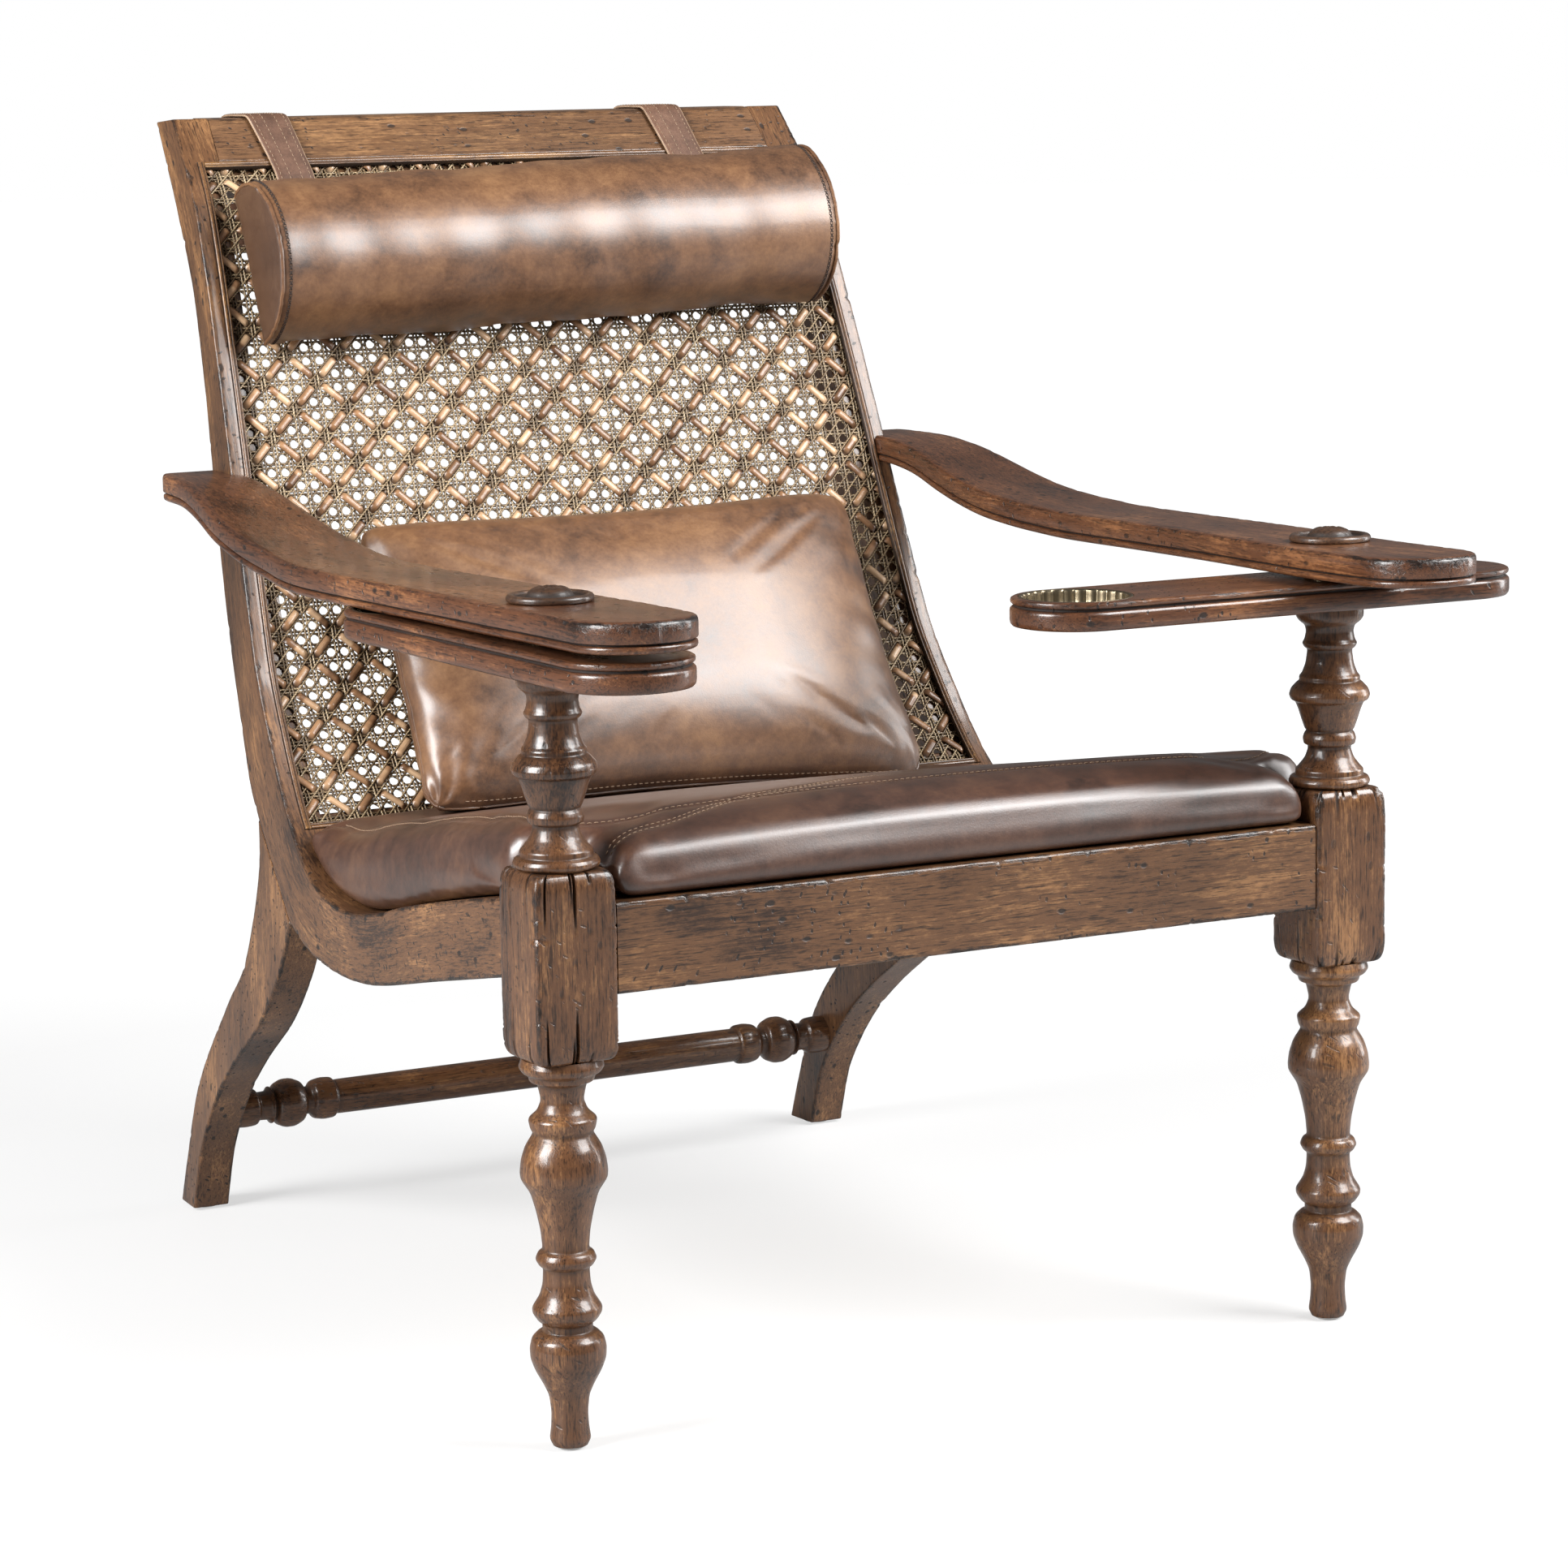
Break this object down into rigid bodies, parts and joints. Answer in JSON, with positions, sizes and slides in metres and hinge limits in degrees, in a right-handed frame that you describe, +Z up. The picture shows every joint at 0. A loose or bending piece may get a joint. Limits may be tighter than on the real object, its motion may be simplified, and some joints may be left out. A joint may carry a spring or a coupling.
{
  "type": "planters chair",
  "caption": "Low reclining wooden armchair with turned front legs, woven cane back, leather cushions and arm-mounted leg rests that swing out from under long arms.",
  "frame": {"origin": "on the floor under the middle of the chair's bounding box, as it stands with the right leg rest swung in", "axes": "+X across the chair, to the right as seen from its front; +Y from the front of the seat to the back; +Z up; the node names say left and right as seen from the front"},
  "size_m": [0.9077, 1.0848, 0.9811],
  "materials": {
    "walnut": "distressed walnut stain under satin lacquer",
    "dark_walnut": "dark stained turning, satin",
    "plywood": "plain board, matt",
    "cane": "open woven natural cane",
    "cushion_leather": "waxed mid-brown leather, glossy with soft mottling",
    "strap_leather": "stitched strap leather with pale cut edges",
    "brass": "pale satin brass",
    "steel": "plain turned steel",
    "clear_pad": "translucent foot pad"
  },
  "bodies": {
    "chair": {"left_side_frame": "walnut", "right_side_frame": "walnut", "left_back_leg": "walnut", "right_back_leg": "walnut", "left_front_leg": "walnut", "right_front_leg": "walnut", "left_seat_cleat": "walnut", "right_seat_cleat": "walnut", "left_cane_bead": "walnut", "right_cane_bead": "walnut", "left_armrest": "walnut", "right_armrest": "walnut", "left_pivot_pin": "steel", "right_pivot_pin": "steel", "left_pivot_washer": "brass", "right_pivot_washer": "brass", "left_pivot_cap": "dark_walnut", "right_pivot_cap": "dark_walnut", "left_front_glide": "clear_pad", "right_front_glide": "clear_pad", "left_back_glide": "clear_pad", "right_back_glide": "clear_pad", "stretcher": "walnut", "front_seat_rail": "walnut", "rear_seat_rail": "walnut", "crest_rail": "walnut", "seat_board": "plywood", "cane_panel": "cane", "top_cane_bead": "walnut", "bottom_cane_bead": "walnut", "seat_cushion": "cushion_leather"},
    "leg_rest_left": {"left_leg_rest": "walnut", "left_cup_ring": "brass"},
    "leg_rest_right": {"right_leg_rest": "walnut", "right_cup_ring": "brass"},
    "pillow": {"lumbar_pillow": "cushion_leather"},
    "headrest": {"headrest_bolster": "cushion_leather", "left_headrest_strap": "strap_leather", "right_headrest_strap": "strap_leather", "headrest_counterweight": "strap_leather"}
  },
  "joints": [
    {"name": "left_leg_rest_pivot", "type": "hinge", "parent": "chair", "child": "leg_rest_left", "pos_m": [-0.396, -0.37385, 0.5988], "axis": [0, 0, -1], "range_deg": [0, 182.5]},
    {"name": "right_leg_rest_pivot", "type": "hinge", "parent": "chair", "child": "leg_rest_right", "pos_m": [0.288, -0.37385, 0.5988], "axis": [0, 0, 1], "range_deg": [-92, 90.5]},
    {"name": "pillow_lift", "type": "slide", "parent": "chair", "child": "pillow", "axis": [0, 0, 1], "range_m": [0, 0.12]},
    {"name": "headrest_lift", "type": "slide", "parent": "chair", "child": "headrest", "axis": [0, 0.2874, 0.9578], "range_m": [0, 0.2]}
  ]
}
